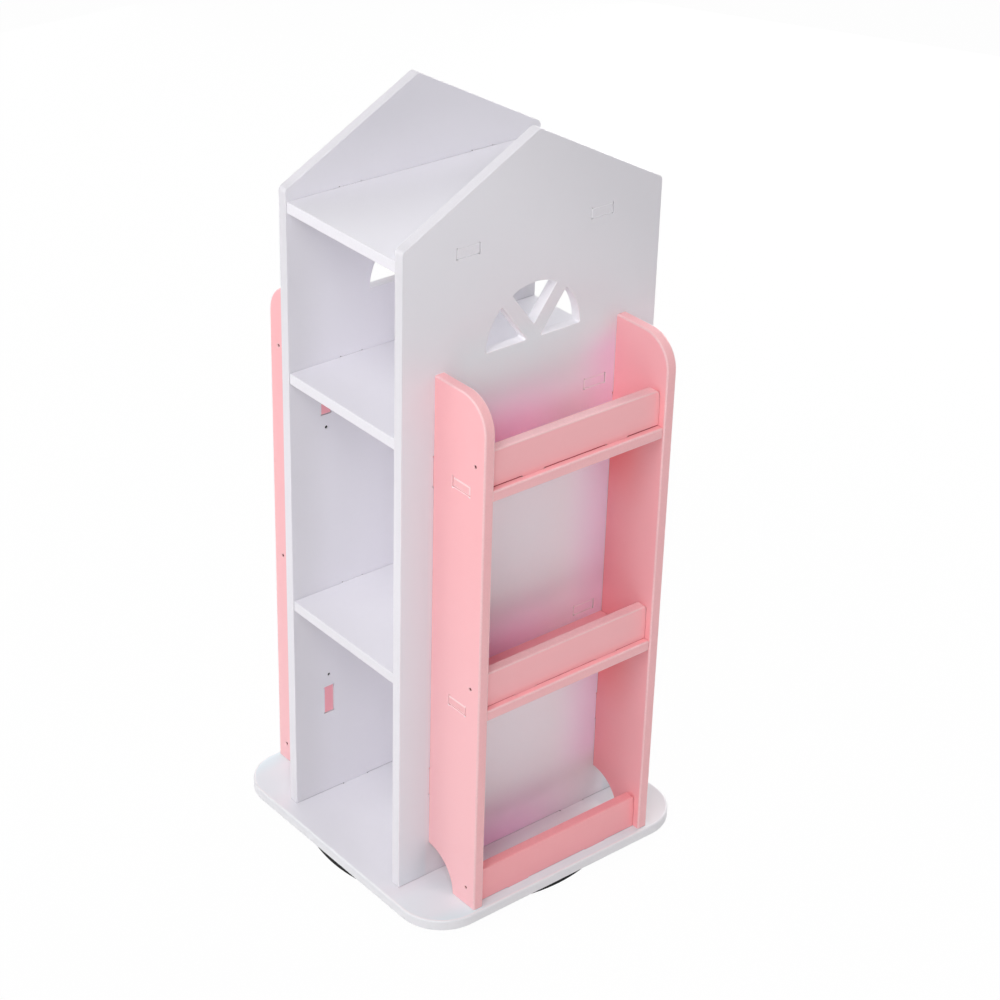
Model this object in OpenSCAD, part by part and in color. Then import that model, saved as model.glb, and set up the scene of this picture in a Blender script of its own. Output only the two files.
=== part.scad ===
// Revolving bookcase for a child's room: a house of painted boards with a book rack on each gable.
// It stands on a round foot and turns on a flat ball bearing under its base plate.
// The origin is on the floor, under the middle of the house. X runs across the gables, -Y is the open front.

/* [Boards] */
// Thickness of the house and rack boards
board = 15; // [13:0.5:17]
// Gap at the faces of a tenon in its slot
tenon_gap = 0.1; // [0.05:0.05:0.5]
// Gap at the two ends of a tenon's width in its slot
tenon_end_gap = 0.8; // [0.1:0.1:1.5]
// Radius of the reliefs beside the corners of a slot, which let a square tenon go in
slot_relief_r = 1.2; // [0.5:0.1:2]
// How far a tenon's end stays below the face that it comes out at
tenon_recess = 0.3; // [0.1:0.1:1.5]
// Thickness taken off the underside of a shelf to make its tenons
tenon_shoulder = 2; // [1:0.5:4]
// Open joint at the ends of the shelves and lips
joint_gap = 0.5; // [0.2:0.1:0.8]

/* [House] */
// Clear width between the gables
inner_width = 217; // [180:1:260]
// Depth of a gable from front to back
gable_depth = 400; // [360:1:460]
// Height of the eaves above the base plate
eave_height = 907; // [900:1:960]
// Height of the peak above the base plate
peak_height = 1014; // [990:1:1080]
// Radius of the eave and peak corners
gable_corner_r = 8; // [3:0.5:15]
// Width of a tenon under a gable
foot_tenon_w = 42; // [20:1:50]
// Distance from the middle of a gable to the middle of a tenon under it
foot_tenon_y = 100; // [75:1:130]

/* [House shelves] */
// Height of the attic shelf's top above the base plate
attic_height = 892; // [860:1:895]
// Height of the middle shelf's top above the base plate
middle_height = 662; // [640:1:730]
// Height of the lower shelf's top above the base plate
lower_height = 328; // [260:1:420]
// How far the shelves stay behind the gables' front and back edges
shelf_setback = 1.3; // [0.5:0.1:6]
// Width of a shelf tenon
shelf_tenon_w = 34; // [20:1:44]
// Distance from the middle of a shelf to the middle of a tenon
shelf_tenon_y = 103.5; // [80:0.5:110]

/* [Window] */
// Radius of the half-round window
window_r = 74; // [50:1:80]
// Height of the window's sill above the base plate
window_sill = 745; // [740:1:780]
// Width of a window bar
window_bar = 19; // [10:0.5:26]
// Lean of a window bar away from upright
window_bar_lean = 36.5; // [28:0.5:45]
// Height above the sill at which the middle lines of the bars meet
window_bar_meet = 2; // [0:0.5:6]
// Radius of the corners of the window's openings
window_corner_r = 2; // [0.5:0.5:4]

/* [Racks] */
// Height of a rack's side boards
rack_height = 739; // [700:1:800]
// Depth of a rack's side boards, out from the gable
rack_depth = 97; // [90:1:120]
// Width of a rack over its side boards
rack_width = 302; // [290:1:340]
// Radius of the side boards' top corner
rack_corner_r = 45; // [20:1:60]
// Radius of the quarter-round cut at the side boards' inner foot
rack_notch_r = 52; // [30:1:54]
// Height of a side board's tenons
rack_tenon_h = 42; // [25:1:50]
// Height of the middle of the upper tenon above the base plate
rack_upper_tenon = 609; // [560:1:625]
// Height of the middle of the lower tenon above the base plate
rack_lower_tenon = 151; // [110:1:220]
// How far a side board's tenon stays below the gable's inner face
rack_tenon_recess = 1; // [0.3:0.1:2]
// Distance from the middle of a side board's tenon to the screw beside it
rack_screw_step = 40; // [35:1:60]
// Height of the upper rack shelf's top above the base plate
rack_upper_shelf = 619; // [560:1:640]
// Height of the lower rack shelf's top above the base plate
rack_lower_shelf = 305; // [230:1:400]
// How far the rack shelves stay behind the side boards' front edges
rack_shelf_setback = 1.7; // [0.5:0.1:6]
// Width of a rack shelf's tenon
rack_shelf_tenon_w = 33; // [20:1:36]
// Distance from the gable to the middle of a rack shelf's tenon
rack_shelf_tenon_x = 53.5; // [50:0.5:56]

/* [Lips] */
// Height of a lip's top edge above what it stands on
lip_height = 50; // [40:1:80]
// Open joint under an upper lip
upper_lip_gap = 1.2; // [0.3:0.1:2]
// Open joint under the other lips
lip_gap = 0.5; // [0.3:0.1:2]
// How far a lip stays behind the rack shelves' front edges
lip_setback = 8.8; // [4:0.1:12]
// Radius of the upper lips' top corners
upper_lip_corner_r = 8; // [3:0.5:15]
// Radius of the other lips' top corners
lip_corner_r = 4; // [2:0.5:15]
// Width of a tab under a lip
tab_w = 34; // [20:1:50]
// Depth of a tab
tab_depth = 10; // [6:0.5:11]
// Distance from the middle of a lip to the middle of a tab
tab_y = 67; // [40:1:85]
// Height of the end screws above what a shelf lip stands on
lip_screw_height = 31; // [20:1:34]
// Height of the end screws above the base plate in a bottom lip
bottom_lip_screw_height = 27; // [20:1:34]

/* [Base plate] */
// Thickness of the base plate
base_thick = 15; // [14:0.5:20]
// How far the base plate reaches past the racks' front edges
base_side_margin = 5; // [1:0.5:20]
// How far the base plate reaches past the gables' front and back edges
base_front_margin = 22.5; // [10:0.5:40]
// Radius of the base plate's corners
base_corner_r = 64; // [30:1:80]

/* [Screws] */
// Diameter of a board screw's head
screw_head_d = 4.2; // [4:0.1:6]
// Height of a board screw's head
screw_head_h = 2.2; // [1.5:0.1:3]
// How far a head is sunk below the face
screw_sink = 1.2; // [0.5:0.1:2]
// Diameter of a board screw's shank
screw_shank_d = 3; // [2.4:0.1:3.6]
// Length of a board screw's shank
screw_length = 36; // [30:1:45]
// Gap around a screw in its hole
screw_gap = 0.15; // [0.05:0.05:0.3]
// Distance from the middle of a gable to the screws under it
gable_screw_y = 40; // [20:1:60]
// Distance from the gable to the screw under a rack's side board
rack_foot_screw_x = 63; // [60:1:66]

/* [Turntable] */
// How far the foot disc stays inside the base plate's edge
foot_inset = 6.5; // [4:0.5:60]
// Thickness of the foot disc
foot_thick = 8; // [7:0.5:14]
// Diameter of a non-slip pad
pad_d = 30; // [15:1:40]
// Thickness of a non-slip pad
pad_thick = 3; // [2.5:0.5:6]
// How deep a pad is let into the foot disc
pad_sink = 1; // [0.5:0.5:2]
// Distance from the foot disc's rim to the middle of a pad
pad_inset = 24; // [21:1:50]
// Gap around a pad in its recess
pad_gap = 0.3; // [0.1:0.05:0.5]
// Number of pads
pad_count = 6; // [3:1:12]
// Diameter of the circle that the balls run on
track_d = 200; // [160:1:240]
// Diameter of a ball
ball_d = 5; // [4.5:0.1:5.4]
// Number of balls
ball_count = 24; // [8:1:40]
// Gap around a ball in its groove and cage
ball_gap = 0.3; // [0.2:0.05:0.4]
// Thickness of a race
race_thick = 2; // [2:0.1:3]
// Gap between the races
race_gap = 3; // [2.8:0.1:3.4]
// Width of a race from its inner to its outer edge
race_w = 44; // [40:1:60]
// Thickness of the rolled collar inside the lower race
collar_thick = 3; // [2:0.5:4]
// How far the collar is rolled out over the upper race
collar_roll = 4; // [2:0.5:5]
// Thickness of the rolled edge
roll_thick = 0.6; // [0.4:0.1:0.6]
// Gap above and below the rolled edge
roll_gap = 0.2; // [0.1:0.05:0.2]
// Room around the rolled edge in the thinned part of the upper race
roll_room = 3; // [1:0.5:4]
// Radial running clearance between the collar and the upper race
spin_gap = 0.05; // [0.02:0.01:0.1]
// Thickness of the ball cage
cage_thick = 1.2; // [0.8:0.1:1.6]
// Width of the ball cage
cage_w = 12; // [9:0.5:16]
// Distance from the ball track to a race screw
race_screw_step = 14; // [11:0.5:16]
// Number of screws in each race
race_screw_count = 4; // [3:1:8]
// Diameter of a race screw's countersunk head
race_screw_head_d = 6; // [5:0.1:7]
// Diameter of a race screw's shank
race_screw_shank_d = 3; // [2.4:0.1:3.6]
// Length of a lower race screw, head and all
lower_race_screw_length = 7; // [5:0.5:8]
// Length of an upper race screw, head and all
upper_race_screw_length = 13; // [8:0.5:14]
// Diameter of the hole through which the upper race's screws are reached
access_d = 10; // [8:0.5:12]

/* [Hidden] */
$fn = 96;
// Extra length of a cut past the face that it opens
cut = 1;

white = "#eeeef3";
pink = "#f6b4ba";
black = "#18181a";
steel = "#b9bcc0";
nylon = "#e6e2d6";
rubber = "#2a2a2c";

// Heights of the turntable's layers above the floor
foot_z = pad_thick - pad_sink;
race_z = foot_z + foot_thick;
upper_race_z = race_z + race_thick + race_gap;
base_z = upper_race_z + race_thick;
base_top = base_z + base_thick;
ball_z = race_z + race_thick + race_gap / 2;

// Plan of the house, racks and base
gable_out = inner_width / 2 + board;
rack_inner = rack_width / 2 - board;
rack_board_mid = rack_width / 2 - board / 2;
base_w = 2 * (gable_out + rack_depth + base_side_margin);
base_d = gable_depth + 2 * base_front_margin;
foot_d = min(base_w, base_d) - 2 * foot_inset;

// Places on a rack, measured out from the gable
rack_shelf_depth = rack_depth - rack_shelf_setback;
lip_back = rack_shelf_depth - lip_setback - board;
lip_mid = lip_back + board / 2;
tenon_thick = board - tenon_shoulder;

// Rings of the turntable
track_r = track_d / 2;
race_in = track_r - race_w / 2;
race_out = track_r + race_w / 2;
collar_out = race_in + collar_thick;
// The upper race is thinned where the lower race's collar is rolled over it
roll_z = base_z - roll_gap - roll_thick;
thinned_r = collar_out + collar_roll + roll_room;
race_screw_r = track_r + race_screw_step;

// Shapes and places that several pieces share

function unit(v) = v / norm(v);

// Middle of the arc that rounds the corner at b between its neighbours a and c
function arc_middle(a, b, c, r) =
    let (u = unit(a - b), v = unit(c - b), half = acos(u * v) / 2)
    b + unit(u + v) * r / sin(half);

// The two points where that arc leaves the straight sides
function arc_ends(a, b, c, r) =
    let (u = unit(a - b), v = unit(c - b), half = acos(u * v) / 2)
    [b + u * r / tan(half), b + v * r / tan(half)];

// Outline through the given points, each with the radius that rounds it
module rounded_outline(points, radii) {
    n = len(points);
    polygon([for (i = [0 : n - 1])
        each radii[i] > 0
            ? arc_ends(points[(i + n - 1) % n], points[i], points[(i + 1) % n], radii[i])
            : [points[i]]]);
    for (i = [0 : n - 1])
        if (radii[i] > 0)
            translate(arc_middle(points[(i + n - 1) % n], points[i], points[(i + 1) % n], radii[i]))
                circle(r = radii[i]);
}

// A flat outline stood up in the plane of the gables and given a thickness along X
module stand_across(thick) {
    rotate([90, 0, 90]) linear_extrude(thick) children();
}

// A flat outline stood up in the plane of the racks' side boards and given a thickness along Y
module stand_along(thick) {
    translate([0, thick, 0]) rotate([90, 0, 0]) linear_extrude(thick) children();
}

// Children at both ends of the house
module at_both_ends(y) {
    for (side = [-1, 1])
        translate([0, side * y, 0]) children();
}

// Children at equal steps round the vertical axis
module around(count, radius, start = 0) {
    for (i = [0 : count - 1])
        rotate([0, 0, start + i * 360 / count]) translate([radius, 0, 0]) children();
}

// A board screw that points down, with the face that it is sunk in at the origin
module board_screw() {
    color(black)
        translate([0, 0, -screw_sink - screw_head_h]) {
            cylinder(d = screw_head_d, h = screw_head_h);
            translate([0, 0, -screw_length]) cylinder(d = screw_shank_d, h = screw_length + screw_head_h / 2);
        }
}

// The hole for a board screw, which leaves room at its tip
module board_screw_hole() {
    depth = screw_sink + screw_head_h;
    translate([0, 0, -depth]) cylinder(d = screw_head_d + 2 * screw_gap, h = depth + cut);
    translate([0, 0, -depth - screw_length - screw_gap])
        cylinder(d = screw_shank_d + 2 * screw_gap, h = screw_length + cut);
}

// A countersunk race screw that points down, with its flat head at the origin
module race_screw(length) {
    head_h = (race_screw_head_d - race_screw_shank_d) / 2;
    color(steel) {
        translate([0, 0, -head_h]) cylinder(d1 = race_screw_shank_d, d2 = race_screw_head_d, h = head_h);
        translate([0, 0, -length]) cylinder(d = race_screw_shank_d, h = length - head_h / 2);
    }
}

// The hole for a race screw
module race_screw_hole(length) {
    head_h = (race_screw_head_d - race_screw_shank_d) / 2;
    wide = 2 * screw_gap;
    translate([0, 0, -head_h])
        cylinder(d1 = race_screw_shank_d + wide, d2 = race_screw_head_d + wide, h = head_h);
    cylinder(d = race_screw_head_d + wide, h = cut);
    translate([0, 0, -length - screw_gap]) cylinder(d = race_screw_shank_d + wide, h = length);
}

// Lower race screws point down into the foot disc, and upper ones up into the base plate, turned half a step
module at_lower_race_screws() {
    translate([0, 0, race_z + race_thick]) around(race_screw_count, race_screw_r) children();
}

module at_upper_race_screws() {
    translate([0, 0, upper_race_z])
        around(race_screw_count, race_screw_r, 180 / race_screw_count) mirror([0, 0, 1]) children();
}

// Screws that point out of the right gable into its rack's side boards, one beside each tenon
module at_rack_screws() {
    for (z = [rack_upper_tenon - rack_screw_step, rack_lower_tenon + rack_screw_step])
        at_both_ends(rack_board_mid)
            translate([inner_width / 2, 0, base_top + z]) rotate([0, -90, 0]) children();
}

// Screws that point through the right rack's side boards into the ends of its lips
module at_lip_screws() {
    for (z = [rack_upper_shelf + lip_screw_height, rack_lower_shelf + lip_screw_height,
              bottom_lip_screw_height])
        for (side = [-1, 1])
            translate([gable_out + lip_mid, side * rack_width / 2, base_top + z])
                rotate([-side * 90, 0, 0]) children();
}

// Screws that point up through the base plate into the gables and the racks' side boards
module at_base_screws() {
    for (side = [-1, 1]) {
        at_both_ends(gable_screw_y)
            translate([side * (gable_out - board / 2), 0, base_z]) mirror([0, 0, 1]) children();
        at_both_ends(rack_board_mid)
            translate([side * (gable_out + rack_foot_screw_x), 0, base_z]) mirror([0, 0, 1]) children();
    }
}

// Flat slot for a tenon, whose thickness is along X and its width along Y
module tenon_slot(thick, width) {
    x = thick / 2 + tenon_gap;
    y = width / 2 + tenon_end_gap;
    square([2 * x, 2 * y], center = true);
    for (side = [-1, 1], end = [-1, 1])
        translate([side * x, end * (y - slot_relief_r)]) circle(r = slot_relief_r, $fn = 16);
}

// Tabs of one lip, which reach up into it across its open joint
module lip_tabs(gap) {
    at_both_ends(tab_y)
        translate([lip_back, -tab_w / 2, -tab_depth]) cube([board, tab_w, tab_depth + gap + cut]);
}

// Pockets for the tabs of one lip
module tab_pockets() {
    width = tab_w + 2 * tenon_end_gap;
    at_both_ends(tab_y)
        translate([lip_back - tenon_gap, -width / 2, -tab_depth])
            cube([board + 2 * tenon_gap, width, tab_depth + cut]);
}

// Turntable

// Hole through the foot disc and lower race, in line with one of the upper race's screws
module access_hole() {
    around(1, race_screw_r, 180 / race_screw_count) cylinder(d = access_d, h = upper_race_z);
}

module foot_disc() {
    color(black)
        difference() {
            translate([0, 0, foot_z]) cylinder(d = foot_d, h = foot_thick);
            translate([0, 0, foot_z - cut])
                around(pad_count, foot_d / 2 - pad_inset)
                    cylinder(d = pad_d + 2 * pad_gap, h = cut + pad_sink);
            at_lower_race_screws() race_screw_hole(lower_race_screw_length);
            access_hole();
        }
}

module foot_pads() {
    color(rubber)
        around(pad_count, foot_d / 2 - pad_inset) cylinder(d = pad_d, h = pad_thick);
}

// Groove that the balls run in
module ball_groove() {
    translate([0, 0, ball_z]) rotate_extrude() translate([track_r, 0]) circle(r = ball_d / 2 + ball_gap);
}

module lower_race() {
    color(steel)
        difference() {
            union() {
                translate([0, 0, race_z]) cylinder(r = race_out, h = race_thick);
                translate([0, 0, race_z]) cylinder(r = collar_out, h = roll_z + roll_thick - race_z);
                translate([0, 0, roll_z]) cylinder(r = collar_out + collar_roll, h = roll_thick);
            }
            translate([0, 0, race_z - cut]) cylinder(r = race_in, h = base_z - race_z + cut);
            ball_groove();
            at_lower_race_screws() race_screw_hole(lower_race_screw_length);
            access_hole();
        }
}

module lower_race_screws() {
    at_lower_race_screws() race_screw(lower_race_screw_length);
}

module ball_cage() {
    color(nylon)
        translate([0, 0, ball_z - cage_thick / 2])
            difference() {
                cylinder(r = track_r + cage_w / 2, h = cage_thick);
                translate([0, 0, -cut]) cylinder(r = track_r - cage_w / 2, h = cage_thick + 2 * cut);
                translate([0, 0, -cut])
                    around(ball_count, track_r) cylinder(d = ball_d + 2 * ball_gap, h = cage_thick + 2 * cut);
            }
}

module bearing_balls() {
    color(steel)
        translate([0, 0, ball_z]) around(ball_count, track_r) sphere(d = ball_d);
}

module upper_race() {
    color(steel)
        difference() {
            translate([0, 0, upper_race_z]) cylinder(r = race_out, h = race_thick);
            translate([0, 0, upper_race_z - cut])
                cylinder(r = collar_out + spin_gap, h = race_thick + 2 * cut);
            translate([0, 0, roll_z - roll_gap]) cylinder(r = thinned_r, h = race_thick);
            ball_groove();
            at_upper_race_screws() race_screw_hole(upper_race_screw_length);
        }
}

module upper_race_screws() {
    at_upper_race_screws() race_screw(upper_race_screw_length);
}

// Base plate

module base_plate() {
    x = base_w / 2;
    y = base_d / 2;
    color(white)
        difference() {
            translate([0, 0, base_z])
                linear_extrude(base_thick)
                    difference() {
                        rounded_outline(
                            [[-x, -y], [x, -y], [x, y], [-x, y]],
                            [base_corner_r, base_corner_r, base_corner_r, base_corner_r]);
                        for (side = [-1, 1], end = [-1, 1])
                            translate([side * (gable_out - board / 2), end * foot_tenon_y])
                                tenon_slot(board, foot_tenon_w);
                    }
            for (side = [0, 1])
                mirror([side, 0, 0]) translate([gable_out, 0, base_top]) tab_pockets();
            at_base_screws() board_screw_hole();
            at_upper_race_screws() race_screw_hole(upper_race_screw_length);
        }
}

module base_screws() {
    at_base_screws() board_screw();
}

// House

// The three openings of the fan window
module window() {
    offset(r = window_corner_r)
        offset(delta = -window_corner_r)
            difference() {
                translate([0, window_sill])
                    intersection() {
                        circle(r = window_r);
                        translate([-window_r, 0]) square([2 * window_r, window_r]);
                    }
                translate([0, window_sill + window_bar_meet])
                    for (side = [-1, 1])
                        rotate(side * window_bar_lean)
                            translate([-window_bar / 2, -window_bar])
                                square([window_bar, window_r + 2 * window_bar]);
            }
}

// Flat outline of a gable with its tenons, window and slots
module gable_outline() {
    y = gable_depth / 2;
    tenon = base_thick - tenon_recess;
    difference() {
        union() {
            rounded_outline(
                [[-y, 0], [y, 0], [y, eave_height], [0, peak_height], [-y, eave_height]],
                [0, 0, gable_corner_r, gable_corner_r, gable_corner_r]);
            for (end = [-1, 1])
                translate([end * foot_tenon_y - foot_tenon_w / 2, -tenon])
                    square([foot_tenon_w, tenon + cut]);
        }
        window();
        for (end = [-1, 1]) {
            for (z = [attic_height, middle_height, lower_height])
                translate([end * shelf_tenon_y, z - tenon_thick / 2])
                    rotate(90) tenon_slot(tenon_thick, shelf_tenon_w);
            for (z = [rack_upper_tenon, rack_lower_tenon])
                translate([end * rack_board_mid, z])
                    tenon_slot(board, rack_tenon_h);
        }
    }
}

module right_gable() {
    color(white)
        difference() {
            translate([inner_width / 2, 0, base_top]) stand_across(board) gable_outline();
            at_rack_screws() board_screw_hole();
            at_base_screws() board_screw_hole();
        }
}

module left_gable() {
    mirror([1, 0, 0]) right_gable();
}

// A shelf of the house, with two tenons into each gable that are flush with its top
module house_shelf(height) {
    length = inner_width - 2 * joint_gap;
    reach = inner_width + 2 * (board - tenon_recess);
    depth = gable_depth - 2 * shelf_setback;
    color(white)
        translate([0, 0, base_top + height]) {
            translate([-length / 2, -depth / 2, -board]) cube([length, depth, board]);
            at_both_ends(shelf_tenon_y)
                translate([-reach / 2, -shelf_tenon_w / 2, -tenon_thick])
                    cube([reach, shelf_tenon_w, tenon_thick]);
        }
}

module attic_shelf() {
    house_shelf(attic_height);
}

module middle_shelf() {
    house_shelf(middle_height);
}

module lower_shelf() {
    house_shelf(lower_height);
}

// Racks

// Flat outline of a rack's side board, with the gable's face on its left
module side_board_outline() {
    tenon = board - rack_tenon_recess;
    difference() {
        union() {
            rounded_outline(
                [[0, 0], [rack_depth, 0], [rack_depth, rack_height], [0, rack_height]],
                [0, 0, rack_corner_r, 0]);
            for (z = [rack_upper_tenon, rack_lower_tenon])
                translate([-tenon, z - rack_tenon_h / 2]) square([tenon + cut, rack_tenon_h]);
        }
        circle(r = rack_notch_r);
        for (z = [rack_upper_shelf, rack_lower_shelf])
            translate([rack_shelf_tenon_x, z - tenon_thick / 2])
                rotate(90) tenon_slot(tenon_thick, rack_shelf_tenon_w);
    }
}

module right_rack_front_board() {
    color(pink)
        difference() {
            translate([gable_out, -rack_width / 2, base_top]) stand_along(board) side_board_outline();
            at_rack_screws() board_screw_hole();
            at_lip_screws() board_screw_hole();
            at_base_screws() board_screw_hole();
        }
}

module right_rack_back_board() {
    mirror([0, 1, 0]) right_rack_front_board();
}

module left_rack_front_board() {
    mirror([1, 0, 0]) right_rack_front_board();
}

module left_rack_back_board() {
    mirror([1, 0, 0]) right_rack_back_board();
}

// A shelf of the right rack, with a tenon through each side board and two pockets for its lip's tabs
module rack_shelf(height) {
    length = 2 * (rack_inner - joint_gap);
    reach = rack_width - 2 * tenon_recess;
    color(pink)
        translate([gable_out, 0, base_top + height])
            difference() {
                union() {
                    translate([0, -length / 2, -board]) cube([rack_shelf_depth, length, board]);
                    translate([rack_shelf_tenon_x - rack_shelf_tenon_w / 2, -reach / 2, -tenon_thick])
                        cube([rack_shelf_tenon_w, reach, tenon_thick]);
                }
                tab_pockets();
            }
}

module right_rack_upper_shelf() {
    rack_shelf(rack_upper_shelf);
}

module right_rack_lower_shelf() {
    rack_shelf(rack_lower_shelf);
}

module left_rack_upper_shelf() {
    mirror([1, 0, 0]) right_rack_upper_shelf();
}

module left_rack_lower_shelf() {
    mirror([1, 0, 0]) right_rack_lower_shelf();
}

// A lip of the right rack, which stands on its tabs with an open joint under it
module lip(height, gap, corner_r) {
    y = rack_inner - joint_gap;
    color(pink)
        difference() {
            translate([gable_out, 0, base_top + height]) {
                translate([lip_back, 0, 0])
                    stand_across(board)
                        rounded_outline(
                            [[-y, gap], [y, gap], [y, lip_height], [-y, lip_height]],
                            [0, 0, corner_r, corner_r]);
                lip_tabs(gap);
            }
            at_lip_screws() board_screw_hole();
        }
}

module right_rack_upper_lip() {
    lip(rack_upper_shelf, upper_lip_gap, upper_lip_corner_r);
}

module right_rack_lower_lip() {
    lip(rack_lower_shelf, lip_gap, lip_corner_r);
}

module right_rack_bottom_lip() {
    lip(0, lip_gap, lip_corner_r);
}

module left_rack_upper_lip() {
    mirror([1, 0, 0]) right_rack_upper_lip();
}

module left_rack_lower_lip() {
    mirror([1, 0, 0]) right_rack_lower_lip();
}

module left_rack_bottom_lip() {
    mirror([1, 0, 0]) right_rack_bottom_lip();
}

module right_rack_screws() {
    at_rack_screws() board_screw();
}

module left_rack_screws() {
    mirror([1, 0, 0]) right_rack_screws();
}

module right_lip_screws() {
    at_lip_screws() board_screw();
}

module left_lip_screws() {
    mirror([1, 0, 0]) right_lip_screws();
}

foot_disc();
foot_pads();
lower_race();
lower_race_screws();
ball_cage();
bearing_balls();
upper_race();
upper_race_screws();
base_plate();
base_screws();
left_gable();
right_gable();
attic_shelf();
middle_shelf();
lower_shelf();
left_rack_front_board();
left_rack_back_board();
right_rack_front_board();
right_rack_back_board();
left_rack_upper_shelf();
left_rack_lower_shelf();
right_rack_upper_shelf();
right_rack_lower_shelf();
left_rack_upper_lip();
left_rack_lower_lip();
left_rack_bottom_lip();
right_rack_upper_lip();
right_rack_lower_lip();
right_rack_bottom_lip();
left_rack_screws();
right_rack_screws();
left_lip_screws();
right_lip_screws();
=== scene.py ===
"""Looks of a child's revolving bookcase: painted boards on a ball-bearing turntable, in metres."""

import math

import bmesh
import bpy
from mathutils import Matrix, Vector


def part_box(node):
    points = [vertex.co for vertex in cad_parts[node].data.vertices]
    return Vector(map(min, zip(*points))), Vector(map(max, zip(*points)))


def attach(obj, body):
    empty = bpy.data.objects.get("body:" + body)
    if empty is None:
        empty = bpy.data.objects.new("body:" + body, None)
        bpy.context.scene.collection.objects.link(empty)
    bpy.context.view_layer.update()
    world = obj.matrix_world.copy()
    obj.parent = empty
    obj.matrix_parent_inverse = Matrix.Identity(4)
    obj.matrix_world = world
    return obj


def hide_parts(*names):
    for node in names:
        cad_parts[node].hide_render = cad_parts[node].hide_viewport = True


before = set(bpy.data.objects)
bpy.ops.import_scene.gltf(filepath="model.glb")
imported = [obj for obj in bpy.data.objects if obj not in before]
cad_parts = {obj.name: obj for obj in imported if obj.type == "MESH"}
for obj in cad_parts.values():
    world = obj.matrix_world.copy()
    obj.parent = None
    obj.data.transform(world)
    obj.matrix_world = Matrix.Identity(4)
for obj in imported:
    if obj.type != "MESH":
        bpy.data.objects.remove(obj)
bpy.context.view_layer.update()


# Foot disc
# A round board, painted black, that lies still on the floor while the bookcase turns on it.
# Its rim is eased by sanding, and the lower race of the bearing is screwed to its top.

flat_angle = math.radians(1)
sharp_angle = math.radians(30)
weld_distance = 1e-6
ease_steps = 4
satin = 0.85
matt = 0.2
noise_low = 0.3
noise_high = 0.7
paint_unevenness = 0.05
edge_unevenness = 0.08
fibre_depth = 0.00012


def new_material(name):
    """A node material, and its shader."""
    material = bpy.data.materials.new(name)
    material.use_nodes = True
    return material, material.node_tree.nodes["Principled BSDF"]


def feed(value, shader, name):
    """Links a value to one of a shader's inputs."""
    shader.id_data.links.new(value, shader.inputs[name])


def noise_at(material, scale, detail):
    """Noise on Object coordinates, with so many patches to the metre; returns its value socket."""
    tree = material.node_tree
    place = tree.nodes.new("ShaderNodeTexCoord")
    noise = tree.nodes.new("ShaderNodeTexNoise")
    noise.inputs["Scale"].default_value = scale
    noise.inputs["Detail"].default_value = detail
    tree.links.new(place.outputs["Object"], noise.inputs["Vector"])
    return noise.outputs["Fac"]


def spread(value, low, high):
    """A noise value, which keeps near its middle, stretched to run from low to high."""
    tree = value.id_data
    ramp = tree.nodes.new("ShaderNodeMapRange")
    ramp.inputs["From Min"].default_value = noise_low
    ramp.inputs["From Max"].default_value = noise_high
    ramp.inputs["To Min"].default_value = low
    ramp.inputs["To Max"].default_value = high
    tree.links.new(value, ramp.inputs["Value"])
    return ramp.outputs["Result"]


def two_tone(share, first, second):
    """A colour between two, by a share from 0 to 1."""
    tree = share.id_data
    mix = tree.nodes.new("ShaderNodeMix")
    mix.data_type = "RGBA"
    mix.inputs["A"].default_value = (*first, 1)
    mix.inputs["B"].default_value = (*second, 1)
    tree.links.new(share, mix.inputs["Factor"])
    return mix.outputs["Result"]


def add_relief(material, depth, scale, detail):
    """Noise as relief of the given depth, in metres, under a material's shader."""
    tree = material.node_tree
    bump = tree.nodes.new("ShaderNodeBump")
    bump.inputs["Distance"].default_value = depth
    tree.links.new(noise_at(material, scale, detail), bump.inputs["Height"])
    feed(bump.outputs["Normal"], tree.nodes["Principled BSDF"], "Normal")


def paint(name, colour, gloss, drift, peel, rough):
    """Sprayed paint: its colour drifts in broad patches, over the fine peel of the spray."""
    material, shader = new_material(name)
    shader.inputs["Specular IOR Level"].default_value = gloss
    patches = spread(noise_at(material, scale=7, detail=3), 0, 1)
    darker = tuple(channel * (1 - drift) for channel in colour)
    feed(two_tone(patches, darker, colour), shader, "Base Color")
    gloss_patches = noise_at(material, scale=60, detail=2)
    feed(spread(gloss_patches, rough - paint_unevenness, rough + paint_unevenness), shader, "Roughness")
    add_relief(material, peel, scale=700, detail=2)
    return material


def edge_paint(name, colour, gloss, fibre, rough):
    """Paint on a routed board edge, which soaks in between the fibres and dries uneven."""
    material, shader = new_material(name)
    shader.inputs["Specular IOR Level"].default_value = gloss
    fibres = spread(noise_at(material, scale=420, detail=5), 0, 1)
    darker = tuple(channel * (1 - fibre) for channel in colour)
    feed(two_tone(fibres, darker, colour), shader, "Base Color")
    gloss_patches = noise_at(material, scale=200, detail=3)
    feed(spread(gloss_patches, rough - edge_unevenness, rough + edge_unevenness), shader, "Roughness")
    add_relief(material, fibre_depth, scale=900, detail=4)
    return material


def finished(name, shape, body, materials):
    """Makes a shape the piece that stands for a CAD node, in the node's place and on its body."""
    mesh = bpy.data.meshes.new(name + "_finished")
    shape.to_mesh(mesh)
    shape.free()
    for material in materials:
        mesh.materials.append(material)
    piece = bpy.data.objects.new(name + "_finished", mesh)
    bpy.context.scene.collection.objects.link(piece)
    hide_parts(name)
    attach(piece, body)
    return piece


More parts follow.
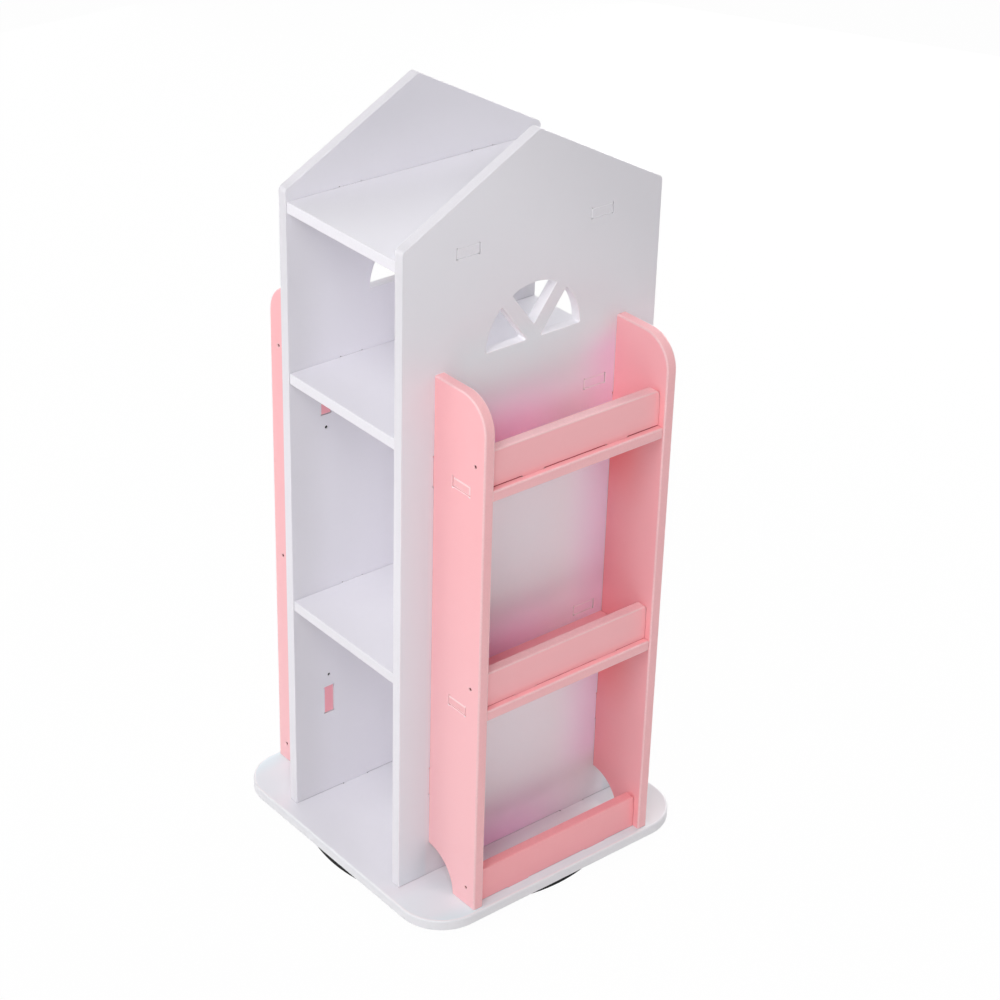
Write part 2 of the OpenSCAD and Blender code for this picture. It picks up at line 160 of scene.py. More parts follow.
def eased_board(name, body, paints, ease_at):
    """A board from its CAD node. ease_at gives the radius of the round on an edge, by the edge's middle.
    The broad faces, the narrow faces and the rounds take the three paints."""
    shape = bmesh.new()
    shape.from_mesh(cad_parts[name].data)
    bmesh.ops.remove_doubles(shape, verts=shape.verts, dist=weld_distance)
    bmesh.ops.dissolve_limit(shape, angle_limit=flat_angle, verts=shape.verts, edges=shape.edges)
    weight = shape.edges.layers.float.new("bevel_weight_edge")
    for edge in shape.edges:
        if edge.is_convex and edge.calc_face_angle() > sharp_angle:
            edge[weight] = ease_at((edge.verts[0].co + edge.verts[1].co) / 2)
    widest = max(edge[weight] for edge in shape.edges)
    for edge in shape.edges:
        edge[weight] /= widest
    low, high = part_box(name)
    thin = min(range(3), key=lambda axis: (high - low)[axis])
    for face in shape.faces:
        face.smooth = True
        face.material_index = 0 if abs(face.normal[thin]) > 0.5 else 1
    piece = finished(name, shape, body, paints)
    rounding = piece.modifiers.new("eased edges", "BEVEL")
    rounding.affect = "EDGES"
    rounding.limit_method = "WEIGHT"
    rounding.width = widest
    rounding.segments = ease_steps
    rounding.profile = 0.5
    rounding.material = 2
    rounding.loop_slide = False
    rounding.use_clamp_overlap = False
    piece.modifiers.new("even shading", "WEIGHTED_NORMAL")
    return piece


black = (0.008, 0.008, 0.009)
black_paint = paint("black paint", black, matt, drift=0.25, peel=0.00002, rough=0.6)
black_edge = edge_paint("black paint on an edge", black, matt, fibre=0.3, rough=0.7)
foot_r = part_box("foot_disc")[1].x
foot_rim = 0.002
foot_rim_ease = 0.0008
foot_hole_ease = 0.0003

eased_board("foot_disc", "foot", (black_paint, black_edge, black_edge),
            lambda p: foot_rim_ease if p.xy.length > foot_r - foot_rim else foot_hole_ease)


# Foot pads
# Six round pads of black rubber, moulded with two ribs, that are glued into recesses under the disc.
# They keep the foot from sliding while a child turns the bookcase.

pad_sides = 48
pad_ease = 0.0006
round_share = 0.3
rib_depth = 0.0005
groove_edges = (0.86, 0.72, 0.58, 0.44)


def mottled(name, tones, tone_noise, roughs, rough_noise):
    """A material whose tone and gloss vary in small patches. A noise is given by its scale and detail."""
    material, shader = new_material(name)
    feed(two_tone(spread(noise_at(material, *tone_noise), 0, 1), *tones), shader, "Base Color")
    feed(spread(noise_at(material, *rough_noise), *roughs), shader, "Roughness")
    return material


def start_ring(shape, sides, radius):
    """A ring of edges round the origin."""
    made = bmesh.ops.create_circle(shape, segments=sides, radius=radius)["verts"]
    return list({edge for vert in made for edge in vert.link_edges})


def pull_ring(shape, ring, radius, height):
    """Extrudes a ring of edges to a new radius and height on the Z axis; returns the new ring."""
    made = bmesh.ops.extrude_edge_only(shape, edges=ring)["geom"]
    moved = [item for item in made if isinstance(item, bmesh.types.BMVert)]
    for vert in moved:
        vert.co.xy = vert.co.xy.normalized() * radius
        vert.co.z = height
    return ring_of(made, moved)


def ring_of(made, moved):
    """The edges of an extrusion that join two of its moved vertices."""
    ends = set(moved)
    return [item for item in made if isinstance(item, bmesh.types.BMEdge) and ends.issuperset(item.verts)]


def template_of(name, shape):
    """A closed shape as a mesh that can be stamped into several places."""
    bmesh.ops.recalc_face_normals(shape, faces=shape.faces)
    template = bpy.data.meshes.new(name)
    shape.to_mesh(template)
    shape.free()
    return template


def stamp(shape, template, place):
    """Adds a copy of a template to a shape, in its place."""
    count = len(shape.verts)
    shape.from_mesh(template)
    shape.verts.ensure_lookup_table()
    bmesh.ops.transform(shape, matrix=place, verts=shape.verts[count:])


def solid_boxes(name):
    """The lowest and highest corner of each separate solid in a CAD node."""
    solids = bmesh.new()
    solids.from_mesh(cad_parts[name].data)
    bmesh.ops.remove_doubles(solids, verts=solids.verts, dist=weld_distance)
    unseen = set(solids.verts)
    boxes = []
    while unseen:
        waiting = [unseen.pop()]
        solid = []
        while waiting:
            vert = waiting.pop()
            solid.append(vert.co)
            near = {edge.other_vert(vert) for edge in vert.link_edges} & unseen
            unseen -= near
            waiting.extend(near)
        boxes.append((Vector(map(min, zip(*solid))), Vector(map(max, zip(*solid)))))
    solids.free()
    return boxes


rubber_tones = ((0.016, 0.016, 0.017), (0.028, 0.028, 0.03))
rubber = mottled("black rubber", rubber_tones, tone_noise=(90, 3), roughs=(0.7, 0.85), rough_noise=(250, 2))
add_relief(rubber, 0.00004, scale=1500, detail=2)

pad_boxes = solid_boxes("foot_pads")
pad_r = (pad_boxes[0][1].x - pad_boxes[0][0].x) / 2
pad_h = pad_boxes[0][1].z - pad_boxes[0][0].z
pad = bmesh.new()
top = start_ring(pad, pad_sides, pad_r)
ring = pull_ring(pad, top, pad_r, pad_ease - pad_h)
ring = pull_ring(pad, ring, pad_r - round_share * pad_ease, round_share * pad_ease - pad_h)
ring = pull_ring(pad, ring, pad_r - pad_ease, -pad_h)
heights = (-pad_h, rib_depth - pad_h)
for step, share in enumerate(groove_edges):
    ring = pull_ring(pad, ring, pad_r * share, heights[step % 2])
    ring = pull_ring(pad, ring, pad_r * share - rib_depth, heights[1 - step % 2])
bmesh.ops.edgeloop_fill(pad, edges=ring)
bmesh.ops.edgeloop_fill(pad, edges=top)
pad_template = template_of("foot pad", pad)

pads = bmesh.new()
for low, high in pad_boxes:
    middle = (low + high) / 2
    stamp(pads, pad_template, Matrix.Translation((middle.x, middle.y, high.z)))
finished("foot_pads", pads, "foot", (rubber,))


# Ball bearing
# Two pressed rings of zinc-plated steel with hardened balls between them, spaced by a nylon cage.
# The lower ring's collar is rolled over the upper ring, so that the two can't come apart.

def metal(name, tones, tone_noise, roughs, rough_noise):
    """A mottled material that is metal."""
    material = mottled(name, tones, tone_noise, roughs, rough_noise)
    material.node_tree.nodes["Principled BSDF"].inputs["Metallic"].default_value = 1
    return material


zinc_tones = ((0.46, 0.47, 0.49), (0.62, 0.63, 0.64))
steel_tones = ((0.58, 0.58, 0.6), (0.66, 0.66, 0.68))
nylon_tones = ((0.72, 0.69, 0.6), (0.78, 0.76, 0.68))
zinc = metal("zinc-plated steel", zinc_tones, tone_noise=(160, 4), roughs=(0.28, 0.48), rough_noise=(90, 3))
add_relief(zinc, 0.00001, scale=1200, detail=2)
ball_steel = metal("polished ball steel", steel_tones, tone_noise=(500, 2), roughs=(0.08, 0.16),
                   rough_noise=(700, 2))
nylon = mottled("natural nylon", nylon_tones, tone_noise=(120, 2), roughs=(0.45, 0.6), rough_noise=(300, 2))
add_relief(nylon, 0.00002, scale=900, detail=2)

for name, material in (("lower_race", zinc), ("upper_race", zinc), ("ball_cage", nylon),
                       ("bearing_balls", ball_steel), ("lower_race_screws", zinc),
                       ("upper_race_screws", zinc)):
    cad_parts[name].data.materials.clear()
    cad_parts[name].data.materials.append(material)


# Base plate
# A square board of fibreboard with round corners, painted white, that carries the house.
# Its rim is routed round, and the gables' feet and the lips' tabs sit in slots in it.

margin = 0.001
base_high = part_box("base_plate")[1]
base_top = base_high.z
base_rim = 0.013
slots_reach = 0.15
rim_ease = 0.0028
rim_under_ease = 0.001
pocket_ease = 0.0004


def base_ease(p):
    """The round on the plate's upper and lower outline, and the finer one in the slots inside it."""
    if abs(p.x) < base_high.x - base_rim and abs(p.y) < slots_reach:
        return pocket_ease
    return rim_ease if p.z > base_top - margin else rim_under_ease


def position(material):
    """The place on a piece, in metres from the bookcase's origin, as three sockets."""
    tree = material.node_tree
    place = tree.nodes.new("ShaderNodeTexCoord")
    parts = tree.nodes.new("ShaderNodeSeparateXYZ")
    tree.links.new(place.outputs["Object"], parts.inputs["Vector"])
    return parts.outputs["X"], parts.outputs["Y"], parts.outputs["Z"]


def reckon(operation, *values):
    """One step of arithmetic on one or two sockets."""
    tree = values[0].id_data
    step = tree.nodes.new("ShaderNodeMath")
    step.operation = operation
    for value, socket in zip(values, step.inputs):
        tree.links.new(value, socket)
    return step.outputs["Value"]


def rise(value, start, full):
    """A share that goes smoothly from 0, where a value is at its start, to 1, where it is full."""
    tree = value.id_data
    ramp = tree.nodes.new("ShaderNodeMapRange")
    ramp.interpolation_type = "SMOOTHSTEP"
    ramp.inputs["From Min"].default_value = start
    ramp.inputs["From Max"].default_value = full
    tree.links.new(value, ramp.inputs["Value"])
    return ramp.outputs["Result"]


def tint(material, colour, *shares):
    """Mixes a further colour into a paint, as far as all the shares go together."""
    tree = material.node_tree
    share = shares[0]
    for other in shares[1:]:
        share = reckon("MULTIPLY", share, other)
    base = tree.nodes["Principled BSDF"].inputs["Base Color"]
    mix = tree.nodes.new("ShaderNodeMix")
    mix.data_type = "RGBA"
    mix.inputs["B"].default_value = (*colour, 1)
    tree.links.new(share, mix.inputs["Factor"])
    tree.links.new(base.links[0].from_socket, mix.inputs["A"])
    tree.links.new(mix.outputs["Result"], base)


white = (0.825, 0.81, 0.86)
white_on_edge = (0.835, 0.815, 0.865)
rim_white_against_pink_light = (0.835, 0.835, 0.868)
# Painted light on the base plate's top: a cooler white outside the gables and beyond the lips, where it
# takes out the pink light of the racks, a paler white in the racks' bottom pockets, and painted shade
# outside the gables at the back.
painted_cool_light_outside = (0.795, 0.865, 0.91)
painted_light_in_pocket = (0.92, 0.98, 1)
painted_cool_light_by_lip = (0.74, 0.875, 0.92)
painted_shade_at_back = (0.72, 0.72, 0.745)


def white_face(name):
    """White paint for broad faces."""
    return paint(name, white, satin, drift=0.015, peel=0.00003, rough=0.5)


def white_edge(name, colour):
    """White paint for narrow faces and rounds."""
    return edge_paint(name, colour, satin, fibre=0.03, rough=0.55)


outside_reach = (0.11, 0.16)
pocket_reach = (0.125, 0.15)
pocket_front = (0.2, 0.185)
pocket_ends = (0.14, 0.13)
lip_reach = (0.19, 0.215)
back_reach = (0.12, 0.165)
# The base plate's top paint carries this painted light and shade, mixed in by place.
base_paint = white_face("white paint on the base plate")
x, y = position(base_paint)[:2]
outward = reckon("ABSOLUTE", x)
outside = rise(outward, *outside_reach)
tint(base_paint, painted_cool_light_outside, outside)
tint(base_paint, painted_light_in_pocket, rise(outward, *pocket_reach), rise(outward, *pocket_front),
     rise(reckon("ABSOLUTE", y), *pocket_ends))
tint(base_paint, painted_cool_light_by_lip, rise(outward, *lip_reach))
tint(base_paint, painted_shade_at_back, outside, rise(y, *back_reach))
# The rim's white is a shade greener than the other white edges: painted light that takes out the pink light
# the racks throw on its round.
base_edge = white_edge("white paint on the base plate's rim", rim_white_against_pink_light)

eased_board("base_plate", "bookcase", (base_paint, base_edge, base_edge), base_ease)


# Board screws
# Blackened steel screws with a hexagon socket, driven in below the face of the board.
# Eight come up through the base plate, and the others hold the racks and their lips.

oxide_lift = 1.8


def blackened(name, colour):
    """Black oxide on steel, a little uneven in tone and gloss."""
    paler = tuple(channel * oxide_lift for channel in colour)
    return metal(name, (colour, paler), tone_noise=(400, 3), roughs=(0.4, 0.55), rough_noise=(300, 2))


black_steel = blackened("blackened steel", (0.012, 0.012, 0.013))
misted_steel = blackened("blackened steel with a mist of pink", (0.13, 0.03, 0.035))

screw_sides = 24
socket_sides = 6
socket_r = 0.0012
socket_depth = 0.0014
head_r = 0.0021
head_h = 0.0022
head_ease = 0.0002
shank_r = 0.0015
shank_length = 0.036
plain_length = 0.008
thread_depth = 0.0004
thread_pitch = 0.0015
point_r = 0.0006

screw = bmesh.new()
socket = start_ring(screw, socket_sides, socket_r)
bmesh.ops.subdivide_edges(screw, edges=socket, cuts=screw_sides // socket_sides - 1)
socket = list(screw.edges)
rim = start_ring(screw, screw_sides, head_r - head_ease)
bmesh.ops.bridge_loops(screw, edges=socket + rim)
made = bmesh.ops.extrude_edge_only(screw, edges=socket)["geom"]
moved = [item for item in made if isinstance(item, bmesh.types.BMVert)]
bmesh.ops.translate(screw, verts=moved, vec=(0, 0, -socket_depth))
bmesh.ops.edgeloop_fill(screw, edges=ring_of(made, moved))
ring = pull_ring(screw, rim, head_r, -head_ease)
ring = pull_ring(screw, ring, head_r, -head_h)
ring = pull_ring(screw, ring, shank_r, -head_h)
depth = head_h + plain_length
ring = pull_ring(screw, ring, shank_r, -depth)
while depth + 2 * thread_pitch < head_h + shank_length:
    ring = pull_ring(screw, ring, shank_r - thread_depth, -depth - thread_pitch / 3)
    ring = pull_ring(screw, ring, shank_r, -depth - thread_pitch)
    depth += thread_pitch
ring = pull_ring(screw, ring, point_r, -head_h - shank_length)
bmesh.ops.edgeloop_fill(screw, edges=ring)
screw_template = template_of("board screw", screw)


def screws_for(name, material, along, head_way):
    """A screw for each solid of a CAD node. It lies along an axis, and head_way says on which end
    its head is."""
    shape = bmesh.new()
    for low, high in solid_boxes(name):
        top = (low + high) / 2
        way = math.copysign(1, head_way(top))
        top[along] = high[along] if way > 0 else low[along]
        facing = Vector((0, 0, 0))
        facing[along] = way
        turn = facing.to_track_quat("Z", "Y").to_matrix().to_4x4()
        stamp(shape, screw_template, Matrix.Translation(top) @ turn)
    finished(name, shape, "bookcase", (material,))


screws_for("base_screws", black_steel, along=2, head_way=lambda p: -1)


# Gables
# The two end walls of the house, sawn from fibreboard with a fan window and painted white.
# Each stands on two tenons in the base plate, and is slotted for the shelves and for its rack.

gable_low, gable_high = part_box("right_gable")
gable_face = gable_high.x
rack_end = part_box("right_rack_upper_lip")[1].y
rack_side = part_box("right_rack_back_board")[1].y
rack_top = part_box("right_rack_back_board")[1].z
pocket_floors = [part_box("right_rack_upper_shelf")[1].z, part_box("right_rack_lower_shelf")[1].z, base_top]
board_ease = 0.001
window_ease = 0.0007
slot_ease = 0.0003
outline_room = 0.01
eave_z = base_top + 0.9
window_z = (base_top + 0.74, base_top + 0.83)


def gable_ease(p):
    """The round on the outline, the finer one on the window, and the finest in the slots."""
    if abs(p.y) > gable_high.y - outline_room or p.z > eave_z or p.z < base_top + margin:
        return board_ease
    return window_ease if window_z[0] < p.z < window_z[1] else slot_ease


# Colours for the gables' outer faces: painted light, painted shade and a painted pink reflection of the rack
# boards.
painted_light_by_front = (0.76, 0.81, 0.86)
painted_light_over_rack = (0.81, 0.89, 0.93)
painted_light_in_rack = (0.88, 0.865, 0.92)
painted_shade_by_peak = (0.72, 0.705, 0.75)
painted_pink_reflection_by_board = (0.93, 0.78, 0.98)
painted_pink_reflection_over_floor = (0.91, 0.615, 0.86)
strip_reach = 0.01
board_reach = 0.085
floor_reach = 0.1
peak_reach = (0.88, 1.12)


def pink_light(material):
    """Paints light and shade into a gable's outer face for the pink boards that stand on it: painted light
    that is paler where they are far, a painted pink reflection (a blush) beside one board of the rack and
    over the floor of each pocket, and painted shade that darkens towards the peak. The scene's own light
    throws some pink on the gable as well."""
    x, y, z = position(material)
    outside = rise(reckon("ABSOLUTE", x), gable_low.x + margin, gable_face - margin)
    sideways = reckon("ABSOLUTE", y)
    between = rise(sideways, rack_end + margin, rack_end - margin)
    over_notch = rise(z, base_top + floor_reach / 2, base_top + floor_reach)
    along = reckon("MULTIPLY", reckon("SIGN", x), y)
    tint(material, painted_light_by_front, outside, rise(sideways, rack_side, rack_side + strip_reach),
         rise(z, rack_top, rack_top - floor_reach))
    tint(material, painted_light_over_rack, outside, rise(sideways, rack_side, rack_end - board_reach / 2),
         rise(z, pocket_floors[0], pocket_floors[0] + floor_reach / 2),
         rise(z, rack_top + floor_reach / 2, rack_top))
    tint(material, painted_light_in_rack, outside, between, over_notch,
         rise(z, pocket_floors[0], pocket_floors[0] - floor_reach))
    tint(material, painted_pink_reflection_by_board, outside, between, over_notch,
         rise(along, rack_end - board_reach, rack_end), rise(z, rack_top, rack_top - floor_reach / 2))
    for pocket_floor in pocket_floors:
        tint(material, painted_pink_reflection_over_floor, outside,
             rise(z, pocket_floor - margin, pocket_floor),
             rise(z, pocket_floor + floor_reach, pocket_floor),
             rise(along, -rack_end, board_reach / 2 - rack_end),
             rise(along, rack_end, rack_end - 2 * board_reach))
    tint(material, painted_shade_by_peak, outside, rise(reckon("ADD", along, z), *peak_reach))


# Painted light and shade on a gable's inner face: paler in its middle under the eaves, and painted shade
# towards its front and back edges and up in the peak.
painted_light_inside = (0.9, 0.88, 0.935)
painted_shade_near_edge = (0.77, 0.755, 0.795)
painted_shade_in_peak = (0.75, 0.735, 0.785)
middle_reach = (0.13, 0.05)
edge_reach = (0.13, 0.185)
eave_room = 0.05
eave_fade = 0.02
peak_room = 0.09
gable_paint = white_face("white paint on a gable")
pink_light(gable_paint)
x, y, z = position(gable_paint)
inside = rise(reckon("ABSOLUTE", x), gable_face - margin, gable_low.x + margin)
sideways = reckon("ABSOLUTE", y)
under_eaves = rise(z, eave_z, eave_z - eave_room)
tint(gable_paint, painted_light_inside, inside, under_eaves, rise(sideways, *middle_reach))
tint(gable_paint, painted_shade_near_edge, inside, under_eaves, rise(sideways, *edge_reach))
tint(gable_paint, painted_shade_in_peak, inside, rise(z, eave_z, eave_z + peak_room))

joint_shade = (0.3, 0.29, 0.31)
# Painted shade on the gables' front and back edges in their upper half below the eaves, and painted light in
# the window's reveals.
painted_shade_by_eaves = (0.72, 0.705, 0.745)
painted_light_in_window = (0.885, 0.875, 0.91)
gable_edge = white_edge("white paint on a gable's edges", white_on_edge)
gable_round = white_edge("white paint on a gable's rounds", white_on_edge)
tint(gable_round, joint_shade,
     rise(position(gable_round)[2], base_top + board_ease, base_top + board_ease / 2))
for material in (gable_edge, gable_round):
    y, z = position(material)[1:]
    sideways = reckon("ABSOLUTE", y)
    on_outline = rise(sideways, gable_high.y - 2 * outline_room, gable_high.y - outline_room)
    off_outline = rise(sideways, gable_high.y - outline_room, gable_high.y - 2 * outline_room)
    tint(material, painted_shade_by_eaves, on_outline, rise(z, eave_z / 2, eave_z),
         rise(z, eave_z + eave_fade, eave_z))
    tint(material, painted_light_in_window, off_outline, rise(z, window_z[0] - outline_room, window_z[0]),
         rise(z, window_z[1] + outline_room, window_z[1]))

for name in ("left_gable", "right_gable"):
    eased_board(name, "bookcase", (gable_paint, gable_edge, gable_round), gable_ease)


# House shelves
# Three white boards across the house, each with two tenons through either gable.
# Their front and back edges and the ends of their tenons are eased.

shelf_end = gable_low.x
tenon_ease = 0.0009


def shelf_ease(p):
    """The round on the front and back edges and on the tenons' ends, and the finer one elsewhere."""
    if abs(p.x) > gable_face - margin:
        return tenon_ease
    on_edge = abs(p.x) < shelf_end - margin and abs(p.y) > gable_high.y - outline_room
    return board_ease if on_edge else slot_ease


# Painted light on the shelves: paler on the attic shelf towards its front right, and at the back of the two
# lower shelves.
painted_light_in_attic = (0.92, 0.905, 0.96)
painted_light_at_shelf_back = (0.92, 0.91, 0.95)
painted_shade_in_slots = (0.1, 0.075, 0.055)
painted_highlight_on_tenon = (0.94, 0.93, 0.97)
attic_width = (-shelf_end, 0.05)
attic_depth = (0.1, -0.05)
shelf_back = (0, 0.1)
shelf_paint = white_face("white paint on a shelf")
x, y, z = position(shelf_paint)
tint(shelf_paint, painted_light_in_attic, rise(z, eave_z - eave_room, eave_z - eave_fade), rise(x, *attic_width),
     rise(y, *attic_depth))
tint(shelf_paint, painted_light_at_shelf_back, rise(z, eave_z - eave_room, eave_z - 2 * eave_room),
     rise(y, *shelf_back))
# The shelves' broad faces beyond their ends, on the tenons inside the gables' slots, are nearly black:
# painted shade.
tint(shelf_paint, painted_shade_in_slots, rise(reckon("ABSOLUTE", x), shelf_end, shelf_end + slot_ease))
shelf_edge = white_edge("white paint on a shelf's edges", white_on_edge)
# The shelves' edges take the same painted light and shade as the gables' outer faces.
pink_light(shelf_edge)
shelf_round = white_edge("white paint on a shelf's rounds", white_on_edge)
outward = reckon("ABSOLUTE", position(shelf_round)[0])
# The rounds on the tenons' ends are a paler white: a painted highlight.
tint(shelf_round, painted_highlight_on_tenon, rise(outward, shelf_end, shelf_end + slot_ease))

for name in ("attic_shelf", "middle_shelf", "lower_shelf"):
    eased_board(name, "bookcase", (shelf_paint, shelf_edge, shelf_round), shelf_ease)


# Rack side boards
# Two pink boards on each gable, rounded at the top and cut away over the base plate.
# Tenons hold them in the gable, and screws from inside the house draw them tight.

pink = (0.985, 0.47, 0.5)
# Painted light and shade on the pink boards: paler towards the foot on the side boards' outer faces, painted
# shade on the inner faces beside the gable below the upper shelf, deepest in the corners under each shelf,
# and painted shade low in the rack, on the bottom lip.
painted_light_by_foot = (0.985, 0.54, 0.57)
painted_shade_by_gable = (0.985, 0.4, 0.43)
painted_shade_in_corner = (0.985, 0.18, 0.165)
painted_shade_low_in_rack = (0.985, 0.4, 0.43)
corner_reach = 0.16
corner_room = 0.03
shelf_fade = 0.005


def pink_face(name):
    """Pink paint for broad faces."""
    return paint(name, pink, satin, drift=0.02, peel=0.00003, rough=0.48)


pink_paint = pink_face("pink paint")
x, y, z = position(pink_paint)
sideways = reckon("ABSOLUTE", y)
inner_face = rise(sideways, rack_side - margin, rack_end + margin)
by_gable = rise(reckon("ABSOLUTE", x), gable_face + board_reach, gable_face)
tint(pink_paint, painted_light_by_foot, rise(sideways, rack_side - margin, rack_side), rise(z, rack_top, base_top))
tint(pink_paint, painted_shade_by_gable, inner_face, by_gable,
     rise(z, pocket_floors[0], pocket_floors[0] - shelf_fade))
for pocket_floor in pocket_floors[:2]:
    tint(pink_paint, painted_shade_in_corner, inner_face, by_gable,
         rise(z, pocket_floor - corner_reach, pocket_floor - corner_room),
         rise(z, pocket_floor, pocket_floor - shelf_fade))
tint(pink_paint, painted_shade_low_in_rack, rise(sideways, rack_end + slot_ease, rack_end),
     rise(z, base_top + floor_reach, base_top + floor_reach / 2))

pink_on_edge = (0.96, 0.5, 0.525)
deep_pink = (0.96, 0.39, 0.45)
pink_edge = edge_paint("pink paint on an edge", pink_on_edge, satin, fibre=0.05, rough=0.55)
outward = reckon("ABSOLUTE", position(pink_edge)[0])
tint(pink_edge, deep_pink, rise(outward, gable_face, gable_face - slot_ease))

pale_pink = (0.97, 0.58, 0.6)
painted_highlight_under_shelves = (0.985, 0.84, 0.86)
rack_ease = 0.0022
rack_joint_ease = 0.0009
rack_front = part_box("right_rack_front_board")[1].x
rack_corner = 0.05


def thin_paint(name):
    """Pink paint that runs thin on a round."""
    return edge_paint(name, pale_pink, satin, fibre=0.08, rough=0.4)


pink_round = thin_paint("thin pink paint on a round")
# Under each rack shelf, behind the front, the side boards' rounds are paler still: a painted highlight.
x, y, z = position(pink_round)
behind_front = rise(reckon("ABSOLUTE", x), rack_front - 2 * rack_ease, rack_front - 3 * rack_ease)
for level in ("upper", "lower"):
    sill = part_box(f"right_rack_{level}_shelf")[0].z
    tint(pink_round, painted_highlight_under_shelves, behind_front, rise(z, sill - 2 * rack_joint_ease, sill - rack_joint_ease),
         rise(z, sill + 2 * rack_joint_ease, sill + rack_joint_ease))


def side_board_ease(p):
    """The round on a side board's front edge and top, and the finer one at its foot and its joints."""
    on_front = abs(p.x) > rack_front - margin
    on_top = p.z > rack_top - rack_corner and abs(p.x) > gable_face + margin
    return rack_ease if (on_front or on_top) and p.z > base_top + margin else rack_joint_ease


for side in ("left", "right"):
    for end in ("front", "back"):
        eased_board(f"{side}_rack_{end}_board", "bookcase",
                    (pink_paint, pink_edge, pink_round), side_board_ease)
    screws_for(f"{side}_rack_screws", black_steel, along=0, head_way=lambda p: -p.x)


# Rack shelves
# Two pink boards in each rack, tenoned through the side boards, with pockets for the lips' tabs.
# Their front edges are eased, and stay a little behind the side boards.

painted_shade_under_lip = (0.5, 0.03, 0.05)
painted_highlight_on_pink_tenon = (0.98, 0.68, 0.7)
rack_shelf_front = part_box("right_rack_upper_shelf")[1].x
rack_shelf_middles = [sum(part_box(f"right_rack_{level}_shelf"), Vector()).z / 2
                      for level in ("upper", "lower")]
lip_low, lip_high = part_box("right_rack_upper_lip")
rack_shelf_paint = pink_face("pink paint on a rack shelf")
outward = reckon("ABSOLUTE", position(rack_shelf_paint)[0])
# The strip of the shelf's top under each lip is dark red: painted shade, seen through the open joint under
# the lip.
tint(rack_shelf_paint, painted_shade_under_lip, rise(outward, lip_high.x, lip_high.x - slot_ease),
     rise(outward, lip_low.x, lip_low.x + slot_ease))
rack_shelf_round = thin_paint("thin pink paint on a rack shelf's rounds")
sideways = reckon("ABSOLUTE", position(rack_shelf_round)[1])
# The rounds on the tenons' ends are a paler pink: a painted highlight.
tint(rack_shelf_round, painted_highlight_on_pink_tenon, rise(sideways, rack_end, rack_end + margin))


def rack_shelf_ease(p):
    """The round on the front edge and over and under the tenons' ends, and the finer one elsewhere."""
    on_front = abs(p.x) > rack_shelf_front - margin and abs(p.y) < rack_end - margin
    on_end = abs(p.y) > rack_side - margin
    if on_end and any(abs(p.z - middle) < margin for middle in rack_shelf_middles):
        return slot_ease
    return rack_ease if on_front or on_end else rack_joint_ease


for side in ("left", "right"):
    for level in ("upper", "lower"):
        eased_board(f"{side}_rack_{level}_shelf", "bookcase",
                    (rack_shelf_paint, pink_edge, rack_shelf_round), rack_shelf_ease)


# Lips
# Pink strips along the front of each pocket, which keep the books in. Each stands on two tabs,
# with an open joint under it, and a screw through each side board holds its ends.

lip_corner = 0.009
# The bottom lips' edges take the deeper pink of the painted shade low in the rack.
base_lip_edge = edge_paint("pink paint on a bottom lip's edges", painted_shade_low_in_rack, satin, fibre=0.05, rough=0.55)
lip_edges = {"upper": pink_round, "lower": pink_round, "bottom": base_lip_edge}

for side in ("left", "right"):
    for level, lip_edge in lip_edges.items():
        name = f"{side}_rack_{level}_lip"
        lip_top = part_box(name)[1].z
        eased_board(name, "bookcase", (pink_paint, lip_edge, lip_edge),
                    lambda p: rack_ease if p.z > lip_top - lip_corner else slot_ease)
    screws_for(f"{side}_lip_screws", misted_steel, along=1, head_way=lambda p: p.y)


# Studio
# A white floor that keeps a faint shadow, softboxes all round the bookcase, and a camera that looks
# down on the corner between the open front and the right-hand rack.

floor_half = 12
floor_drop = 0.0005
shadow_share = 0.02
floor_tones = ((0.88, 0.88, 0.88), (0.9, 0.9, 0.9))
plain_white = (1, 1, 1, 1)
dome_strength = 0.02

floor_shape = bmesh.new()
bmesh.ops.create_grid(floor_shape, x_segments=1, y_segments=1, size=floor_half,
                      matrix=Matrix.Translation((0, 0, -floor_drop)))
floor_mesh = bpy.data.meshes.new("floor")
floor_shape.to_mesh(floor_mesh)
floor_shape.free()
floor = bpy.data.objects.new("floor", floor_mesh)
bpy.context.scene.collection.objects.link(floor)


def seen_rays(tree):
    """1 for camera, glossy and transmission rays, and 0 for rays that light the object."""
    path = tree.nodes.new("ShaderNodeLightPath")
    seen = path.outputs["Is Camera Ray"]
    for kind in ("Is Glossy Ray", "Is Transmission Ray"):
        seen = reckon("MAXIMUM", seen, path.outputs[kind])
    return seen


floor_white, shader = new_material("white floor")
shader.inputs["Roughness"].default_value = 1
shader.inputs["Specular IOR Level"].default_value = 0
feed(two_tone(noise_at(floor_white, scale=2, detail=2), *floor_tones), shader, "Base Color")
nodes, links = floor_white.node_tree.nodes, floor_white.node_tree.links
glow = nodes.new("ShaderNodeEmission")
glow.inputs["Strength"].default_value = 1
share = nodes.new("ShaderNodeMath")
share.operation = "MULTIPLY"
share.inputs[1].default_value = 1 - shadow_share
links.new(seen_rays(floor_white.node_tree), share.inputs[0])
blend = nodes.new("ShaderNodeMixShader")
links.new(share.outputs["Value"], blend.inputs["Fac"])
links.new(shader.outputs["BSDF"], blend.inputs[1])
links.new(glow.outputs["Emission"], blend.inputs[2])
links.new(blend.outputs["Shader"], nodes["Material Output"].inputs["Surface"])
floor_mesh.materials.append(floor_white)

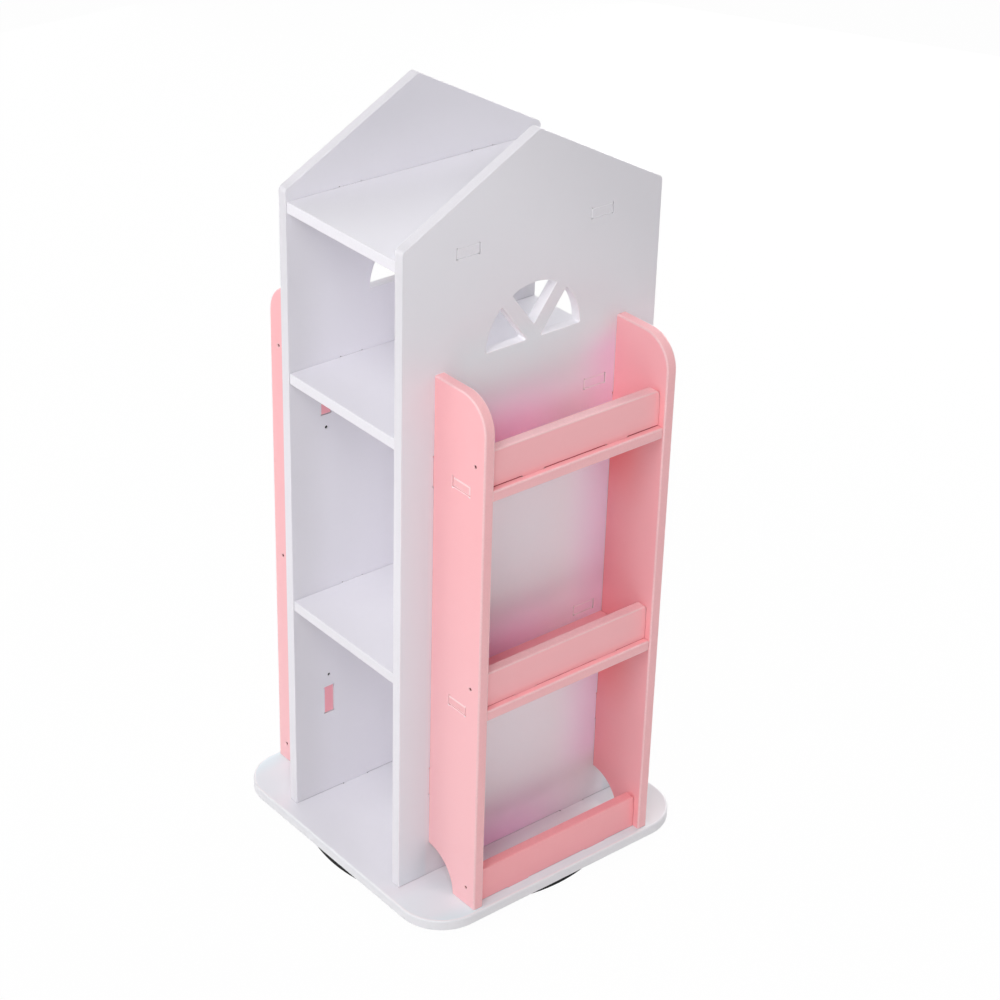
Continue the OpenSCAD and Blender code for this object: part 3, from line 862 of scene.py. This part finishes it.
world = bpy.data.worlds.new("studio")
bpy.context.scene.world = world
world.use_nodes = True
nodes, links = world.node_tree.nodes, world.node_tree.links
dome = nodes["Background"]
dome.inputs["Color"].default_value = plain_white
dome.inputs["Strength"].default_value = dome_strength
backdrop = nodes.new("ShaderNodeBackground")
backdrop.inputs["Color"].default_value = plain_white
backdrop.inputs["Strength"].default_value = 1
blend = nodes.new("ShaderNodeMixShader")
links.new(seen_rays(world.node_tree), blend.inputs["Fac"])
links.new(dome.outputs["Background"], blend.inputs[1])
links.new(backdrop.outputs["Background"], blend.inputs[2])
links.new(blend.outputs["Shader"], nodes["World Output"].inputs["Surface"])

bookcase_middle = Vector((0, 0, 0.5))


def softbox(name, place, width, power):
    """A square lamp behind cloth that looks at the middle of the bookcase."""
    lamp = bpy.data.lights.new(name, "AREA")
    lamp.shape = "SQUARE"
    lamp.size = width
    lamp.energy = power
    stand = bpy.data.objects.new(name, lamp)
    stand.location = place
    stand.rotation_euler = (Vector(place) - bookcase_middle).to_track_quat("Z", "Y").to_euler()
    bpy.context.scene.collection.objects.link(stand)


softbox("front softbox", (0, -3, 1.2), width=3, power=25)
softbox("left softbox", (-3, 0, 1.2), width=3, power=35)
softbox("right softbox", (3, 0.8, 1.6), width=2, power=18.5)
softbox("front left softbox", (-2.2, -3, 2), width=2, power=32.5)
softbox("corner softbox", (2.6, -2.1, 2.2), width=2, power=28.5)
softbox("high front softbox", (1, -1.8, 3.2), width=1.5, power=40)
softbox("back left softbox", (-1.6, 3, 0.9), width=2, power=62)
softbox("high back softbox", (0, 2.8, 3), width=2, power=42)

turn = math.radians(49.996)
lift = math.radians(29.478)
roll = math.radians(1.666)
back = Vector((math.sin(turn) * math.cos(lift), -math.cos(turn) * math.cos(lift), math.sin(lift)))
right = Vector((math.cos(turn), math.sin(turn), 0))
up = back.cross(right)
across = right * math.cos(roll) + up * math.sin(roll)
upward = up * math.cos(roll) - right * math.sin(roll)
camera_lens = bpy.data.cameras.new("camera")
camera_lens.sensor_width = 36
camera_lens.lens = 88.12
camera = bpy.data.objects.new("camera", camera_lens)
camera.location = (2.15399, -1.74927, 2.06463)
camera.rotation_euler = Matrix((across, upward, back)).transposed().to_euler()
bpy.context.scene.collection.objects.link(camera)
bpy.context.scene.camera = camera
bpy.context.scene.view_settings.view_transform = "Standard"
